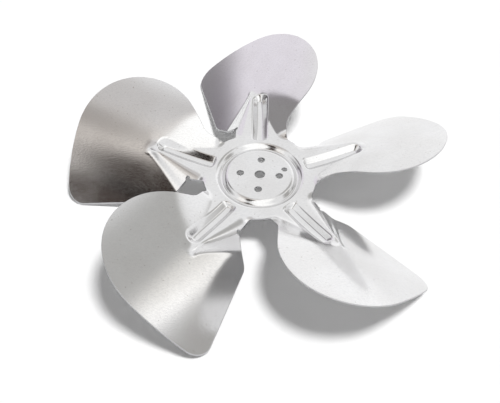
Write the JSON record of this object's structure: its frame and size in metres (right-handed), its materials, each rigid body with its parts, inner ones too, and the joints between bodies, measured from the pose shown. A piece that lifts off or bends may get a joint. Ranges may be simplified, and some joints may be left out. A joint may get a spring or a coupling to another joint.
{
  "type": "fan blade",
  "caption": "Pressed aluminium axial fan blade for a refrigerator or condenser motor: pitched rounded blades on a ribbed flat hub with a shaft hole and screw holes.",
  "frame": {"origin": "centre of the shaft hole on the flat under face of the hub", "axes": "+Z along the shaft hole, out of the hub face in view; +Y along the rib of the blade at the back of the picture"},
  "size_m": [0.2491, 0.2476, 0.0476],
  "materials": {
    "aluminium": "bright mill finish with a fine rolling grain"
  },
  "bodies": {
    "root": {"fan_blade": "aluminium"}
  },
  "joints": []
}
